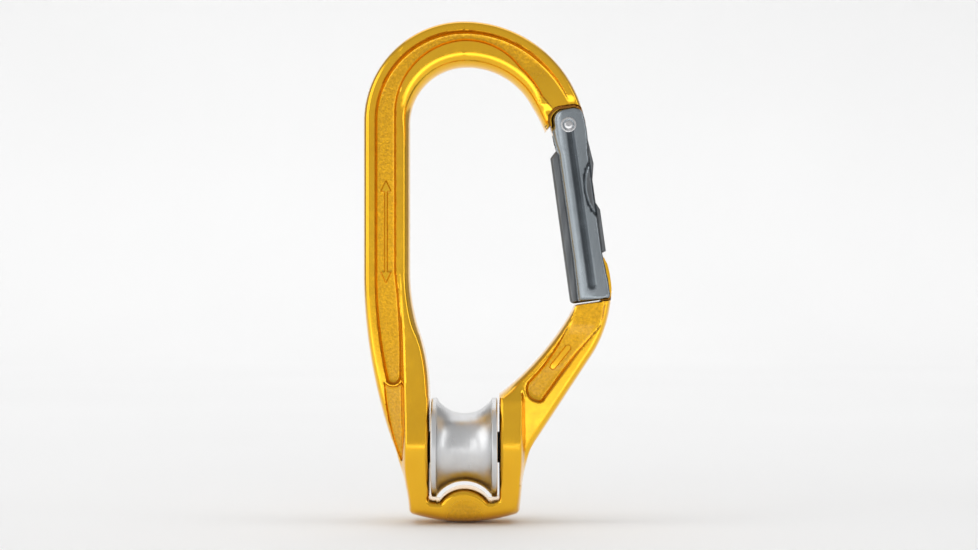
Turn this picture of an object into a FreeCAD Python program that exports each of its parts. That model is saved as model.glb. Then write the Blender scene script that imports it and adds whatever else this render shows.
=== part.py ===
import FreeCAD, Part
import math
import os
import re

import Sketcher

# Pulley carabiner: a forged C-shaped frame, a spring gate and a rope sheave on ball bearings.
# Millimetres. The origin is the centre of the sheave. +X runs along the sheave's axle towards
# the gate, +Z towards the crown, and the parting plane of the forging is Y = 0.

OUT = "parts"

SIZES = {
    # frame, plan
    "crown_top": 112.6,
    "crown_left_radius": 26.6,
    "crown_right_radius": 32.5,
    "spine_outer": -26.6,
    "spine_inner": -14.4,
    "spine_bend_z": 46.5,
    "window_top": 100.55,
    "window_top_x": 0.65,
    "window_right_radius": 19.4,
    "tip_x": 21.35,
    "tip_z": 83.3,
    "cheek_inner": 9.2,
    "cheek_top_z": 14.0,
    "cheek_left_z": 4.0,
    "cheek_left_x": -19.9,
    "cheek_foot": 14.7,
    "cheek_foot_z": -15.6,
    "base_corner": 13.2,
    "base_corner_z": -17.65,
    "base_radius": 46.0,
    "valley_z": -13.7,
    "bump_half_width": 6.5,
    "bump_radius": 8.05,
    "corner_radius": 1.0,
    "arm_low_x": 20.3,
    "arm_high_x": 32.8,
    "arm_high_z": 23.1,
    "arm_inner_radius": 78.0,
    # frame, thickness
    "rim_half": 5.6,
    "web_half": 2.5,
    "arm_floor_half": 3.2,
    "cheek_half": 9.2,
    "flare_top_z": 31.0,
    "band_left": -15.3,
    "band_right": 15.0,
    "rim_width": 3.0,
    "bead_width": 3.5,
    # gate
    "hinge_x": 27.37,
    "hinge_z": 85.04,
    "gate_lean": 8.0,
    "gate_left": -3.8,
    "gate_right": 4.25,
    "gate_top": 4.6,
    "gate_bottom": -46.8,
    "gate_half": 5.3,
    "gate_web_left": -5.8,
    "gate_web_right": 5.4,
    "gate_web_half": 2.4,
    "gate_slot_half": 2.7,
    "gate_slot_radius": 5.0,
    "gate_web_top": -7.3,
    "tang_radius": 4.69,
    "shoulder_radius": 6.2,
    "cam_radius": 4.12,
    "cam_low_radius": 2.88,
    "arm_top": -47.1,
    "bulb_u": 1.9,
    "bulb_w": -39.4,
    "bulb_radius": 3.2,
    "bulb_gap": 0.35,
    "nose_outer": 5.3,
    "thumb_radius": 13.1,
    "thumb_w": -17.6,
    "flute_half_width": 1.3,
    "flute_depth": 0.5,
    "flute_top": -8.0,
    "flute_bottom": -43.0,
    # gate pin, plunger and spring
    "pin_radius": 1.6,
    "pin_head_radius": 2.0,
    "pin_head_depth": 0.8,
    "pin_dome_radius": 1.2,
    "pin_dome_rise": 0.25,
    "press_gap": 0.01,
    "running_gap": 0.05,
    "spring_bore_radius": 1.65,
    "spring_bore_bottom": -27.0,
    "plunger_tip": -4.1,
    "plunger_length": 6.0,
    "plunger_tail_radius": 0.9,
    "plunger_tail_length": 3.0,
    "spring_coil_radius": 1.22,
    "spring_wire_radius": 0.25,
    "spring_turns": 11.0,
    # sheave and axle
    "sheave_half": 8.7,
    "flange_radius": 13.1,
    "groove_floor_radius": 9.0,
    "groove_radius": 8.85,
    "groove_half": 7.15,
    "rim_round": 0.5,
    "sheave_shoulder_radius": 5.9,
    "axle_radius": 2.98,
    "axle_bore_radius": 3.0,
    "axle_seat": 15.2,
    "axle_head_radius": 4.5,
    "axle_head_depth": 1.0,
    # bearings
    "bearing_x": 4.9,
    "bearing_half": 2.5,
    "bearing_bore_radius": 3.0,
    "bearing_outer_radius": 6.5,
    "inner_land_radius": 4.05,
    "outer_land_radius": 5.45,
    "ball_pitch_radius": 4.75,
    "ball_radius": 1.0,
    "race_radius": 1.04,
    "cage_inner_radius": 4.35,
    "cage_outer_radius": 5.15,
    "cage_half": 1.3,
    "cage_pocket_radius": 1.06,
    "seal_inner_radius": 4.15,
    "seal_outer_radius": 5.95,
    "seal_depth": 0.3,
    "seal_inset": 0.15,
    "seal_seat_radius": 6.0,
    "seal_seat_depth": 0.5,
    "washer_radius": 4.1,
}
BALLS = 8

doc = FreeCAD.newDocument("RopePulley")
sheet = doc.addObject("Spreadsheet::Sheet", "Sizes")
sub_parts = []


def fill_sheet():
    """One row for each driving size: its name, then the number, whose cell has the alias."""
    for row, (name, size) in enumerate(SIZES.items(), start=1):
        sheet.set(f"A{row}", name)
        sheet.set(f"B{row}", str(size))
        sheet.setAlias(f"B{row}", name)
    doc.recompute()


def bound(text):
    """The expression with every size's name pointed at its cell."""
    return re.sub(r"[a-z_]+", lambda m: f"Sizes.{m[0]}" if m[0] in SIZES else m[0], str(text))


def value(text):
    """The expression's value now."""
    return float(sheet.evalExpression(bound(text)))


def polar(x, z, radius, angle):
    """The point at a radius and an angle, in degrees from +X towards +Z, around (x, z)."""
    return f"{x} + ({radius}) * cos({angle})", f"{z} + ({radius}) * sin({angle})"


def leaning(u, w):
    """A point of the gate's own frame, as plan coordinates with the gate shut."""
    return (
        f"hinge_x + ({u}) * cos(gate_lean) - ({w}) * sin(gate_lean)",
        f"hinge_z + ({u}) * sin(gate_lean) + ({w}) * cos(gate_lean)",
    )


# ---------------------------------------------------------------- bodies and features


def new_body(name):
    body = doc.addObject("PartDesign::Body", name)
    body.Label = name
    sub_parts.append(body)
    return body


def origin_feature(body, role):
    return next(f for f in body.Origin.OriginFeatures if f.Role == role)


def new_sketch(body, name, role, offset):
    """A sketch on an origin plane of the body, moved along the plane's normal by an expression."""
    sketch = body.newObject("Sketcher::SketchObject", name)
    sketch.AttachmentSupport = [(origin_feature(body, role), "")]
    sketch.MapMode = "FlatFace"
    if offset != 0:
        sketch.setExpression("AttachmentOffset.Base.z", bound(offset))
    return sketch


def pin_point(sketch, index, end, x, z):
    """Fixes one end of a curve at a point given by two expressions."""
    for kind, text in (("DistanceX", x), ("DistanceY", z)):
        constraint = sketch.addConstraint(Sketcher.Constraint(kind, index, end, value(text)))
        sketch.setExpression(f"Constraints[{constraint}]", bound(text))


def arc_between(start, end, radius):
    """The shorter arc between two points, left-hand for a positive radius, with its centre."""
    chord = end - start
    half = chord.Length / 2
    rise = math.sqrt(max(radius * radius - half * half, 0.0))
    left = FreeCAD.Vector(-chord.y, chord.x, 0) / chord.Length
    centre = (start + end) / 2 + left * math.copysign(rise, radius)
    first, last = (start, end) if radius > 0 else (end, start)
    angles = [math.atan2(p.y - centre.y, p.x - centre.x) for p in (first, last)]
    if angles[1] < angles[0]:
        angles[1] += 2 * math.pi
    circle = Part.Circle(centre, FreeCAD.Vector(0, 0, 1), abs(radius))
    return Part.ArcOfCircle(circle, angles[0], angles[1])


def draw_loop(sketch, loop):
    """A closed loop of (x, z) for a line to the next point or (x, z, radius) for an arc to it."""
    points = [FreeCAD.Vector(value(p[0]), value(p[1]), 0) for p in loop]
    first = sketch.GeometryCount
    ends = []
    for i, point in enumerate(loop):
        start, end = points[i], points[(i + 1) % len(points)]
        if len(point) == 2:
            sketch.addGeometry(Part.LineSegment(start, end))
            ends.append((1, 2))
            continue
        radius = value(point[2])
        index = sketch.addGeometry(arc_between(start, end, radius))
        ends.append((1, 2) if radius > 0 else (2, 1))
        size = sketch.addConstraint(Sketcher.Constraint("Radius", index, abs(radius)))
        sketch.setExpression(f"Constraints[{size}]", bound(f"abs({point[2]})"))
    for i in range(len(loop)):
        j = (i + 1) % len(loop)
        sketch.addConstraint(
            Sketcher.Constraint("Coincident", first + i, ends[i][1], first + j, ends[j][0])
        )
    for i, point in enumerate(loop):
        pin_point(sketch, first + i, ends[i][0], point[0], point[1])


def loop_sketch(body, name, role, *loops, offset=0):
    sketch = new_sketch(body, name, role, offset)
    for loop in loops:
        draw_loop(sketch, loop)
    return sketch


def circle_sketch(body, name, role, x, z, radius, offset=0):
    sketch = new_sketch(body, name, role, offset)
    centre = FreeCAD.Vector(value(x), value(z), 0)
    circle = Part.Circle(centre, FreeCAD.Vector(0, 0, 1), value(radius))
    index = sketch.addGeometry(circle)
    pin_point(sketch, index, 3, x, z)
    size = sketch.addConstraint(Sketcher.Constraint("Radius", index, value(radius)))
    sketch.setExpression(f"Constraints[{size}]", bound(radius))
    return sketch


def pad(body, sketch, length):
    """Adds a slab of the sketch's outline, centred on its plane."""
    feature = body.newObject("PartDesign::Pad", f"{sketch.Name}_pad")
    feature.Profile = sketch
    feature.SideType = "Symmetric"
    feature.setExpression("Length", bound(length))
    sketch.Visibility = False
    doc.recompute()
    return feature


def changes_volume(body, before, feature, sign):
    """Stops the build if a feature left the body's volume as it was, or moved it the wrong way."""
    after = body.Shape.Volume
    if not (after - before) * sign > 1e-6:
        raise RuntimeError(f"{feature.Label} changed nothing: {before} to {after}")


def cut_through(body, sketch):
    """Cuts the sketch's outline through the whole body."""
    before = body.Shape.Volume
    feature = body.newObject("PartDesign::Pocket", f"{sketch.Name}_cut")
    feature.Profile = sketch
    feature.SideType = "Symmetric"
    feature.Type = "ThroughAll"
    doc.recompute()
    changes_volume(body, before, feature, -1)
    return feature


def cut_slot(body, sketch, length):
    """Cuts a slot of a given width, centred on the sketch's plane."""
    before = body.Shape.Volume
    feature = body.newObject("PartDesign::Pocket", f"{sketch.Name}_slot")
    feature.Profile = sketch
    feature.SideType = "Symmetric"
    feature.setExpression("Length", bound(length))
    doc.recompute()
    changes_volume(body, before, feature, -1)
    return feature


def cut_outwards(body, sketch, mirror_role):
    """Cuts from the sketch's plane outwards through all, then mirrors the cut."""
    before = body.Shape.Volume
    feature = body.newObject("PartDesign::Pocket", f"{sketch.Name}_cut")
    feature.Profile = sketch
    feature.Type = "ThroughAll"
    feature.Reversed = True
    doc.recompute()
    changes_volume(body, before, feature, -1)
    middle = body.Shape.Volume
    mirrored = body.newObject("PartDesign::Mirrored", f"{sketch.Name}_mirror")
    mirrored.Originals = [feature]
    mirrored.MirrorPlane = (origin_feature(body, mirror_role), [""])
    body.Tip = mirrored
    doc.recompute()
    changes_volume(body, middle, mirrored, -1)
    return mirrored


def revolve(body, sketch, axis_role):
    feature = body.newObject("PartDesign::Revolution", f"{sketch.Name}_turn")
    feature.Profile = sketch
    feature.ReferenceAxis = (origin_feature(body, axis_role), [""])
    feature.Angle = 360
    doc.recompute()
    return feature


def groove(body, sketch, axis_role):
    before = body.Shape.Volume
    feature = body.newObject("PartDesign::Groove", f"{sketch.Name}_groove")
    feature.Profile = sketch
    feature.ReferenceAxis = (origin_feature(body, axis_role), [""])
    feature.Angle = 360
    doc.recompute()
    changes_volume(body, before, feature, -1)
    return feature


def turned(name, loop, axis_role="X_Axis", role="XZ_Plane"):
    """A lathe-turned body: a closed loop turned about an axis of the body."""
    body = new_body(name)
    revolve(body, loop_sketch(body, f"{name}_profile", role, loop), axis_role)
    return body


def place_along_x(body, x):
    body.setExpression("Placement.Base.x", bound(x))


def place_at_hinge(body, leans):
    """Puts a body's origin on the hinge axis, turned by the gate's lean if it belongs to it."""
    if leans:
        body.Placement = FreeCAD.Placement(
            FreeCAD.Vector(), FreeCAD.Rotation(FreeCAD.Vector(0, -1, 0), SIZES["gate_lean"])
        )
        body.setExpression("Placement.Rotation.Angle", bound("gate_lean"))
    body.setExpression("Placement.Base.x", bound("hinge_x"))
    body.setExpression("Placement.Base.z", bound("hinge_z"))


# ---------------------------------------------------------------- frame


def frame_plan():
    """The C-shaped outline in the parting plane, anticlockwise from the base's left corner."""
    base_and_arm = [
        ("-base_corner", "base_corner_z", "base_radius"),
        ("base_corner", "base_corner_z", 1.9),
        ("cheek_foot", "cheek_foot_z"),
        ("cheek_foot + 0.6", "cheek_foot_z + 6.1", -30),
        ("arm_low_x", "cheek_left_z"),
        ("arm_high_x", "arm_high_z", 33),
    ]
    nose = [
        (*leaning("nose_outer + 0.1", "arm_top + 3"), 33),
        leaning("nose_outer - 0.1", "bulb_w + 1.8"),
        leaning("nose_outer - 0.8", "bulb_w + 3.7"),
        (*leaning("bulb_u", "bulb_w + bulb_radius"), "bulb_radius"),
        (*leaning("bulb_u - bulb_radius", "bulb_w"), "bulb_radius"),
        leaning("bulb_u", "bulb_w - bulb_radius"),
        leaning("bulb_u", "arm_top"),
        leaning("gate_web_left + 1.4", "arm_top"),
        (*leaning("gate_web_left + 0.4", "arm_top - 1"), "-arm_inner_radius"),
    ]
    clevis = [
        ("cheek_inner", "cheek_top_z"),
        ("cheek_inner", "valley_z + corner_radius", "-corner_radius"),
        ("cheek_inner - corner_radius", "valley_z"),
        ("bump_half_width", "valley_z", "bump_radius"),
        ("-bump_half_width", "valley_z"),
        ("corner_radius - cheek_inner", "valley_z", "-corner_radius"),
        ("-cheek_inner", "valley_z + corner_radius"),
        ("-cheek_inner", "cheek_top_z", 52.5),
    ]
    window_left = "window_top_x - spine_inner"
    spine_and_crown = [
        ("(spine_inner - cheek_inner) / 2", "(spine_bend_z + cheek_top_z) / 2", -52.5),
        ("spine_inner", "spine_bend_z"),
        ("spine_inner", f"window_top - ({window_left})", f"-({window_left})"),
        ("window_top_x", "window_top", "-window_right_radius"),
        (*polar("window_top_x", "window_top - window_right_radius", "window_right_radius", 27), -35),
        ("tip_x", "tip_z"),
    ]
    cam_start = polar("hinge_x", "hinge_z", "tang_radius", "241 + gate_lean")
    tang = [
        (*polar("hinge_x", "hinge_z", "tang_radius", "175 + gate_lean"), "tang_radius"),
        (*cam_start, "cam_radius"),
        polar("hinge_x", "hinge_z", "cam_low_radius", "294 + gate_lean"),
        (*polar("hinge_x", "hinge_z", "tang_radius", "294 + gate_lean"), "tang_radius"),
    ]
    outside = [
        (*polar("0", "crown_top - crown_right_radius", "crown_right_radius", 10.25),
         "crown_right_radius"),
        ("0", "crown_top", "crown_left_radius"),
        ("spine_outer", "crown_top - crown_left_radius"),
        ("spine_outer", "spine_bend_z", 137),
        ("cheek_left_x", "cheek_left_z"),
        ("-cheek_foot - 1.7", "cheek_foot_z + 9", -42),
        ("-cheek_foot", "cheek_foot_z", 1.9),
    ]
    return base_and_arm + nose + clevis + spine_and_crown + tang + outside


def side_trim(side):
    """What the dies leave out on one side: the space beyond the frame's side profile."""
    return [
        (f"{side} * rim_half", 130),
        (f"{side} * rim_half", "flare_top_z", 60 * side),
        (f"{side} * (rim_half + 1.7)", "flare_top_z - 14"),
        (f"{side} * cheek_half", 5.5, -10 * side),
        (f"{side} * (cheek_half - 0.5)", -5.0),
        (f"{side} * (cheek_half - 2.4)", "cheek_foot_z", -4.2 * side),
        (f"{side} * 3", "-19.9"),
        (f"{side} * 3", -30),
        (f"{side} * 30", -30),
        (f"{side} * 30", 130),
    ]


def spine_pocket():
    """The I-beam recess: up the spine, around the crown and out onto the hinge's tang."""
    outer_wall = "spine_outer + rim_width + 0.2"
    bead_wall = "spine_inner - bead_width"
    left_rise = "crown_top - crown_left_radius"
    return [
        ("cheek_left_x", "cheek_top_z + 3.5", 2.1),
        ("cheek_left_x + 3.8", "cheek_top_z + 4.6", 203),
        (bead_wall, "spine_bend_z"),
        (bead_wall, f"crown_top - 5.6 + {bead_wall}", bead_wall),
        ("0", "crown_top - 5.6", -17.5),
        (14.5, "crown_top - 12.7", -26),
        (21.0, 91.0),
        (21.9, 88.3),
        (25.5, 88.5),
        (*polar("0", "crown_top - crown_right_radius", "crown_right_radius - rim_width", 22.7),
         "crown_right_radius - rim_width"),
        ("0", "crown_top - rim_width", "crown_left_radius - rim_width - 0.2"),
        (outer_wall, left_rise),
        (outer_wall, "spine_bend_z", 128),
    ]


def arm_pocket():
    """The shallower recess in the arm below the nose."""
    return [
        (17.0, 15.5, 2.4),
        (20.3, 12.6),
        ("arm_high_x - 5.8", 19.7),
        (35.0, 31.3),
        (28.2, 33.2),
        (17.3, 20.0),
    ]


def left_wing():
    """Beside the left cheek's raised band, where the spine keeps its own thickness."""
    return [
        ("2 * spine_outer", "-cheek_half"),
        ("band_left + 0.4", "-cheek_half"),
        ("band_left", "cheek_left_z"),
        ("band_left - 1.4", "spine_bend_z"),
        ("2 * spine_outer", "spine_bend_z"),
    ]


def right_wing():
    """Beside and above the right cheek's raised band, where the arm keeps its own thickness."""
    return [
        ("band_right", "-cheek_half"),
        ("3 * band_right", "-cheek_half"),
        ("3 * band_right", "spine_bend_z"),
        ("cheek_inner - 1", "spine_bend_z"),
        ("cheek_inner - 1", "cheek_top_z + 4"),
        ("band_right", "cheek_top_z - 1"),
    ]


def nose_relief():
    """The space that the gate's cheeks fill beside the nose."""
    return [
        leaning("gate_web_left - 1", "arm_top"),
        leaning("nose_outer + 3", "arm_top"),
        leaning("nose_outer + 3", "arm_top + 17"),
        leaning("gate_web_left - 1", "arm_top + 17"),
    ]


def build_frame():
    body = new_body("frame")
    pad(body, loop_sketch(body, "frame_plan", "XZ_Plane", frame_plan()), "2 * (cheek_half + 1)")
    cut_through(
        body, loop_sketch(body, "frame_sides", "YZ_Plane", side_trim(-1), side_trim(1))
    )
    for name, loop, floor in (
        ("left_wing", left_wing(), "rim_half"),
        ("right_wing", right_wing(), "rim_half"),
        ("spine_pocket", spine_pocket(), "web_half"),
        ("arm_pocket", arm_pocket(), "arm_floor_half"),
        ("nose_relief", nose_relief(), "web_half"),
    ):
        cut_outwards(body, loop_sketch(body, name, "XZ_Plane", loop, offset=floor), "XZ_Plane")
    relief = circle_sketch(
        body, "hinge_relief", "XZ_Plane", "hinge_x", "hinge_z", "shoulder_radius", "web_half"
    )
    cut_outwards(body, relief, "XZ_Plane")
    pin_bore = circle_sketch(
        body, "pin_bore", "XZ_Plane", "hinge_x", "hinge_z", "pin_radius + running_gap"
    )
    cut_through(body, pin_bore)
    cut_through(body, circle_sketch(body, "axle_bore", "YZ_Plane", 0, 0, "axle_bore_radius"))
    seat = circle_sketch(
        body, "axle_head_seat", "YZ_Plane", 0, 0, "axle_head_radius + running_gap", "axle_seat"
    )
    cut_outwards(body, seat, "YZ_Plane")


# ---------------------------------------------------------------- gate


def gate_cheeks():
    """The outline of the gate's two cheeks, in the gate's own frame."""
    return [
        ("gate_left - 0.3", "gate_bottom + 1.2", 1.3),
        ("gate_left + 1", "gate_bottom"),
        ("gate_right - 0.5", "gate_bottom", 1.3),
        ("gate_right + 0.6", "gate_bottom + 1.4"),
        ("gate_right + 0.6", "gate_bottom + 4.5"),
        ("gate_right", "gate_bottom + 12"),
        ("gate_right", "gate_web_top", 30),
        ("gate_right + 0.45", "gate_top - 2.2", 2.2),
        ("gate_right - 1.6", "gate_top", 20),
        ("gate_left + 1.8", "gate_top - 0.1", 2.2),
        ("gate_left - 0.75", "gate_top - 2.1", 30),
        ("gate_left", "gate_web_top"),
        ("gate_left", "gate_bottom + 12"),
    ]


def gate_web():
    """The wider web in the parting plane, down to the lip that hooks under the nose's bulb."""
    return [
        ("gate_web_left - 0.1", "gate_bottom + 1.1", 1.1),
        ("gate_web_left + 1", "gate_bottom"),
        ("bulb_u", "gate_bottom"),
        ("bulb_u", "bulb_w + 4"),
        ("gate_web_right", "bulb_w + 5.2"),
        ("gate_web_right", "thumb_w - 5.5"),
        ("gate_right + 0.25", "thumb_w - 3.5"),
        ("gate_right + 0.25", "thumb_w + 2.6"),
        ("gate_web_right", "thumb_w + 6.8"),
        ("gate_right + 0.4", "gate_web_top + 4.1"),
        (0, "gate_web_top + 4.1"),
        (-2.5, "gate_web_top + 2.6"),
        ("gate_web_left + 0.5", "gate_web_top"),
        ("gate_web_left", "gate_web_top - 0.6"),
    ]


def hinge_slot():
    """The slot that straddles the frame's tang."""
    return [
        ("gate_slot_radius", 0),
        ("gate_slot_radius", 12),
        (-12, 12),
        (-12, "gate_web_top + 0.1"),
        ("gate_web_left", "gate_web_top + 0.1"),
        (*polar(0, 0, "gate_slot_radius", 236), "gate_slot_radius"),
    ]


def nose_slot():
    """The keylock mouth that closes over the nose's bulb."""
    mouth = "bulb_radius + bulb_gap"
    return [
        ("bulb_u - bulb_gap", "gate_bottom - 2"),
        (12, "gate_bottom - 2"),
        (12, "bulb_w + bulb_radius + 2.2"),
        ("nose_outer", "bulb_w + bulb_radius + 1.7"),
        (*polar("bulb_u", "bulb_w", mouth, 90), mouth),
        (*polar("bulb_u", "bulb_w", mouth, 180), mouth),
        polar("bulb_u", "bulb_w", mouth, 264),
    ]


def thumb_scallop():
    """The crescent in each cheek that gives the thumb a hold."""
    return [
        ("gate_right + 2", "thumb_w - 9.2"),
        ("gate_right + 2", "thumb_w + 9.2", "thumb_radius"),
    ]


def face_flute():
    """The shallow channel down the outside of each cheek."""
    return [
        ("flute_half_width", "flute_top", "1.05 * flute_half_width"),
        ("-flute_half_width", "flute_top"),
        ("-flute_half_width", "flute_bottom", "1.05 * flute_half_width"),
        ("flute_half_width", "flute_bottom"),
    ]


def build_gate():
    body = new_body("gate")
    pad(body, loop_sketch(body, "gate_cheeks", "XZ_Plane", gate_cheeks()), "2 * gate_half")
    pad(body, loop_sketch(body, "gate_web", "XZ_Plane", gate_web()), "2 * gate_web_half")
    cut_slot(body, loop_sketch(body, "hinge_slot", "XZ_Plane", hinge_slot()), "2 * gate_slot_half")
    cut_slot(body, loop_sketch(body, "nose_slot", "XZ_Plane", nose_slot()), "2 * gate_slot_half")
    for name, loop, floor in (
        ("thumb_scallop", thumb_scallop(), "gate_web_half"),
        ("face_flute", face_flute(), "gate_half - flute_depth"),
    ):
        cut_outwards(body, loop_sketch(body, name, "XZ_Plane", loop, offset=floor), "XZ_Plane")
    spring_bore = [
        (0, -4),
        (0, "spring_bore_bottom"),
        ("spring_bore_radius", "spring_bore_bottom"),
        ("spring_bore_radius", -4),
    ]
    groove(body, loop_sketch(body, "spring_bore", "XZ_Plane", spring_bore), "Z_Axis")
    cut_through(
        body, circle_sketch(body, "gate_bore", "XZ_Plane", 0, 0, "pin_radius + press_gap")
    )
    head_seat = circle_sketch(
        body, "pin_head_seat", "XZ_Plane", 0, 0, "pin_head_radius + press_gap",
        "gate_half - pin_head_depth",
    )
    cut_outwards(body, head_seat, "XZ_Plane")
    place_at_hinge(body, leans=True)


def build_gate_pin():
    """A riveted pin with a flat rim and a low dome on each head."""
    head = "gate_half - pin_head_depth"
    loop = [
        ("-(gate_half + pin_dome_rise)", 0),
        ("gate_half + pin_dome_rise", 0),
        ("gate_half", "pin_dome_radius"),
        ("gate_half", "pin_head_radius"),
        (head, "pin_head_radius"),
        (head, "pin_radius"),
        (f"-({head})", "pin_radius"),
        (f"-({head})", "pin_head_radius"),
        ("-gate_half", "pin_head_radius"),
        ("-gate_half", "pin_dome_radius"),
    ]
    body = turned("gate_pin", loop, "Y_Axis", "YZ_Plane")
    place_at_hinge(body, leans=False)


def build_plunger():
    """A plunger with a rounded nose and a tail that centres the spring."""
    shoulder = "plunger_tip - plunger_length"
    radius = "spring_bore_radius - running_gap"
    loop = [
        (0, "plunger_tip"),
        (0, f"{shoulder} - plunger_tail_length"),
        ("plunger_tail_radius", f"{shoulder} - plunger_tail_length"),
        ("plunger_tail_radius", shoulder),
        (radius, shoulder),
        (radius, "plunger_tip - 1.1", 1.1),
        (f"{radius} - 1.1", "plunger_tip"),
    ]
    body = turned("spring_plunger", loop, "Z_Axis")
    place_at_hinge(body, leans=True)


def build_gate_spring():
    """A round-wire compression spring from the plunger's shoulder to the bore's blind end."""
    body = new_body("gate_spring")
    top = "plunger_tip - plunger_length - spring_wire_radius - 0.05"
    bottom = "spring_bore_bottom + spring_wire_radius + 0.05"
    wire = circle_sketch(
        body, "spring_wire", "XZ_Plane", "spring_coil_radius", bottom, "spring_wire_radius"
    )
    coil = body.newObject("PartDesign::AdditiveHelix", "spring_coil")
    coil.Profile = wire
    coil.ReferenceAxis = (origin_feature(body, "Z_Axis"), [""])
    coil.Mode = "height-turns-angle"
    coil.setExpression("Height", bound(f"({top}) - ({bottom})"))
    coil.setExpression("Turns", bound("spring_turns"))
    doc.recompute()
    place_at_hinge(body, leans=True)


# ---------------------------------------------------------------- sheave, axle and bearings


def build_sheave():
    """The rope wheel: a round-bottomed groove outside, a stepped bearing bore inside."""
    bore_end = "bearing_x - bearing_half"
    rim = "flange_radius - rim_round"
    loop = [
        ("-sheave_half", "bearing_outer_radius"),
        (f"-({bore_end})", "bearing_outer_radius"),
        (f"-({bore_end})", "sheave_shoulder_radius"),
        (bore_end, "sheave_shoulder_radius"),
        (bore_end, "bearing_outer_radius"),
        ("sheave_half", "bearing_outer_radius"),
        ("sheave_half", rim, "rim_round"),
        ("sheave_half - rim_round", "flange_radius"),
        ("groove_half + rim_round", "flange_radius", "rim_round"),
        ("groove_half", "groove_floor_radius + groove_radius - 5.215", "-groove_radius"),
        ("-groove_half", "groove_floor_radius + groove_radius - 5.215", "rim_round"),
        ("-groove_half - rim_round", "flange_radius"),
        ("rim_round - sheave_half", "flange_radius", "rim_round"),
        ("-sheave_half", rim),
    ]
    turned("sheave", loop)


def build_axle():
    """The rivet through both cheeks, with a flush head at each end."""
    end = "axle_seat + axle_head_depth"
    loop = [
        (f"-({end})", 0),
        (end, 0),
        (end, "axle_head_radius"),
        ("axle_seat", "axle_head_radius"),
        ("axle_seat", "axle_radius"),
        ("-axle_seat", "axle_radius"),
        ("-axle_seat", "axle_head_radius"),
        (f"-({end})", "axle_head_radius"),
    ]
    turned("sheave_axle", loop)


def ring(low_x, high_x, low_radius, high_radius):
    return [
        (low_x, low_radius),
        (high_x, low_radius),
        (high_x, high_radius),
        (low_x, high_radius),
    ]


def build_spacers():
    inner_end = "bearing_x - bearing_half"
    outer_end = "bearing_x + bearing_half"
    turned(
        "bearing_spacer",
        ring(f"-({inner_end})", inner_end, "axle_bore_radius", "inner_land_radius"),
    )
    length = f"(cheek_inner - ({outer_end}))"
    for name, side in (("axle_washer_left", -1), ("axle_washer_right", 1)):
        body = turned(name, ring(f"-{length} / 2", f"{length} / 2", "axle_bore_radius",
                                 "washer_radius"))
        place_along_x(body, f"{side} * (cheek_inner + {outer_end}) / 2")


def race_groove(body, name):
    """The ball track: a torus cut out of a ring."""
    sketch = circle_sketch(body, name, "XZ_Plane", 0, "ball_pitch_radius", "race_radius")
    groove(body, sketch, "X_Axis")


def build_bearing(side_name, side):
    """One sealed deep-groove ball bearing, six nodes, centred at its place on the axle."""
    centre = f"{side} * bearing_x"
    inner = turned(
        f"{side_name}_inner_ring",
        ring("-bearing_half", "bearing_half", "bearing_bore_radius", "inner_land_radius"),
    )
    race_groove(inner, f"{side_name}_inner_track")
    outer_loop = [
        ("-bearing_half", "seal_seat_radius"),
        ("seal_seat_depth - bearing_half", "seal_seat_radius"),
        ("seal_seat_depth - bearing_half", "outer_land_radius"),
        ("bearing_half - seal_seat_depth", "outer_land_radius"),
        ("bearing_half - seal_seat_depth", "seal_seat_radius"),
        ("bearing_half", "seal_seat_radius"),
        ("bearing_half", "bearing_outer_radius"),
        ("-bearing_half", "bearing_outer_radius"),
    ]
    outer = turned(f"{side_name}_outer_ring", outer_loop)
    race_groove(outer, f"{side_name}_outer_track")
    cage = turned(
        f"{side_name}_cage",
        ring("-cage_half", "cage_half", "cage_inner_radius", "cage_outer_radius"),
    )
    add_cage_pockets(cage, side_name)
    for body in (inner, outer, cage):
        place_along_x(body, centre)
    for seal_name, face in (("inner_seal", -1), ("outer_seal", 1)):
        seal = turned(
            f"{side_name}_{seal_name}",
            ring("-seal_depth / 2", "seal_depth / 2", "seal_inner_radius", "seal_outer_radius"),
        )
        seal_x = f"{side} * (bearing_x + {face} * (bearing_half - seal_inset - seal_depth / 2))"
        place_along_x(seal, seal_x)
    build_balls(side_name, centre)


def add_cage_pockets(body, side_name):
    """Round pockets through the cage, one for each ball."""
    before = body.Shape.Volume
    sketch = circle_sketch(body, f"{side_name}_pocket", "XY_Plane", 0, 0, "cage_pocket_radius")
    hole = body.newObject("PartDesign::Pocket", f"{side_name}_pocket_cut")
    hole.Profile = sketch
    hole.Type = "ThroughAll"
    hole.Reversed = True
    doc.recompute()
    changes_volume(body, before, hole, -1)
    one_hole = body.Shape.Volume
    pattern = body.newObject("PartDesign::PolarPattern", f"{side_name}_pockets")
    pattern.Originals = [hole]
    pattern.Axis = (origin_feature(body, "X_Axis"), [""])
    pattern.Angle = 360
    pattern.Occurrences = BALLS
    body.Tip = pattern
    doc.recompute()
    changes_volume(body, one_hole, pattern, -1)


def build_balls(side_name, centre):
    """The bearing's balls, spread evenly around the axle."""
    balls = []
    for i in range(BALLS):
        ball = doc.addObject("Part::Sphere", f"{side_name}_ball_{i + 1}")
        ball.setExpression("Radius", bound("ball_radius"))
        angle = 90 + 360 * i / BALLS
        y, z = polar(0, 0, "ball_pitch_radius", angle)
        ball.setExpression("Placement.Base.x", bound(centre))
        ball.setExpression("Placement.Base.y", bound(y))
        ball.setExpression("Placement.Base.z", bound(z))
        balls.append(ball)
    group = doc.addObject("Part::Compound", f"{side_name}_balls")
    group.Links = balls
    group.Label = f"{side_name}_balls"
    sub_parts.append(group)


# ---------------------------------------------------------------- build, check and write


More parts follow.
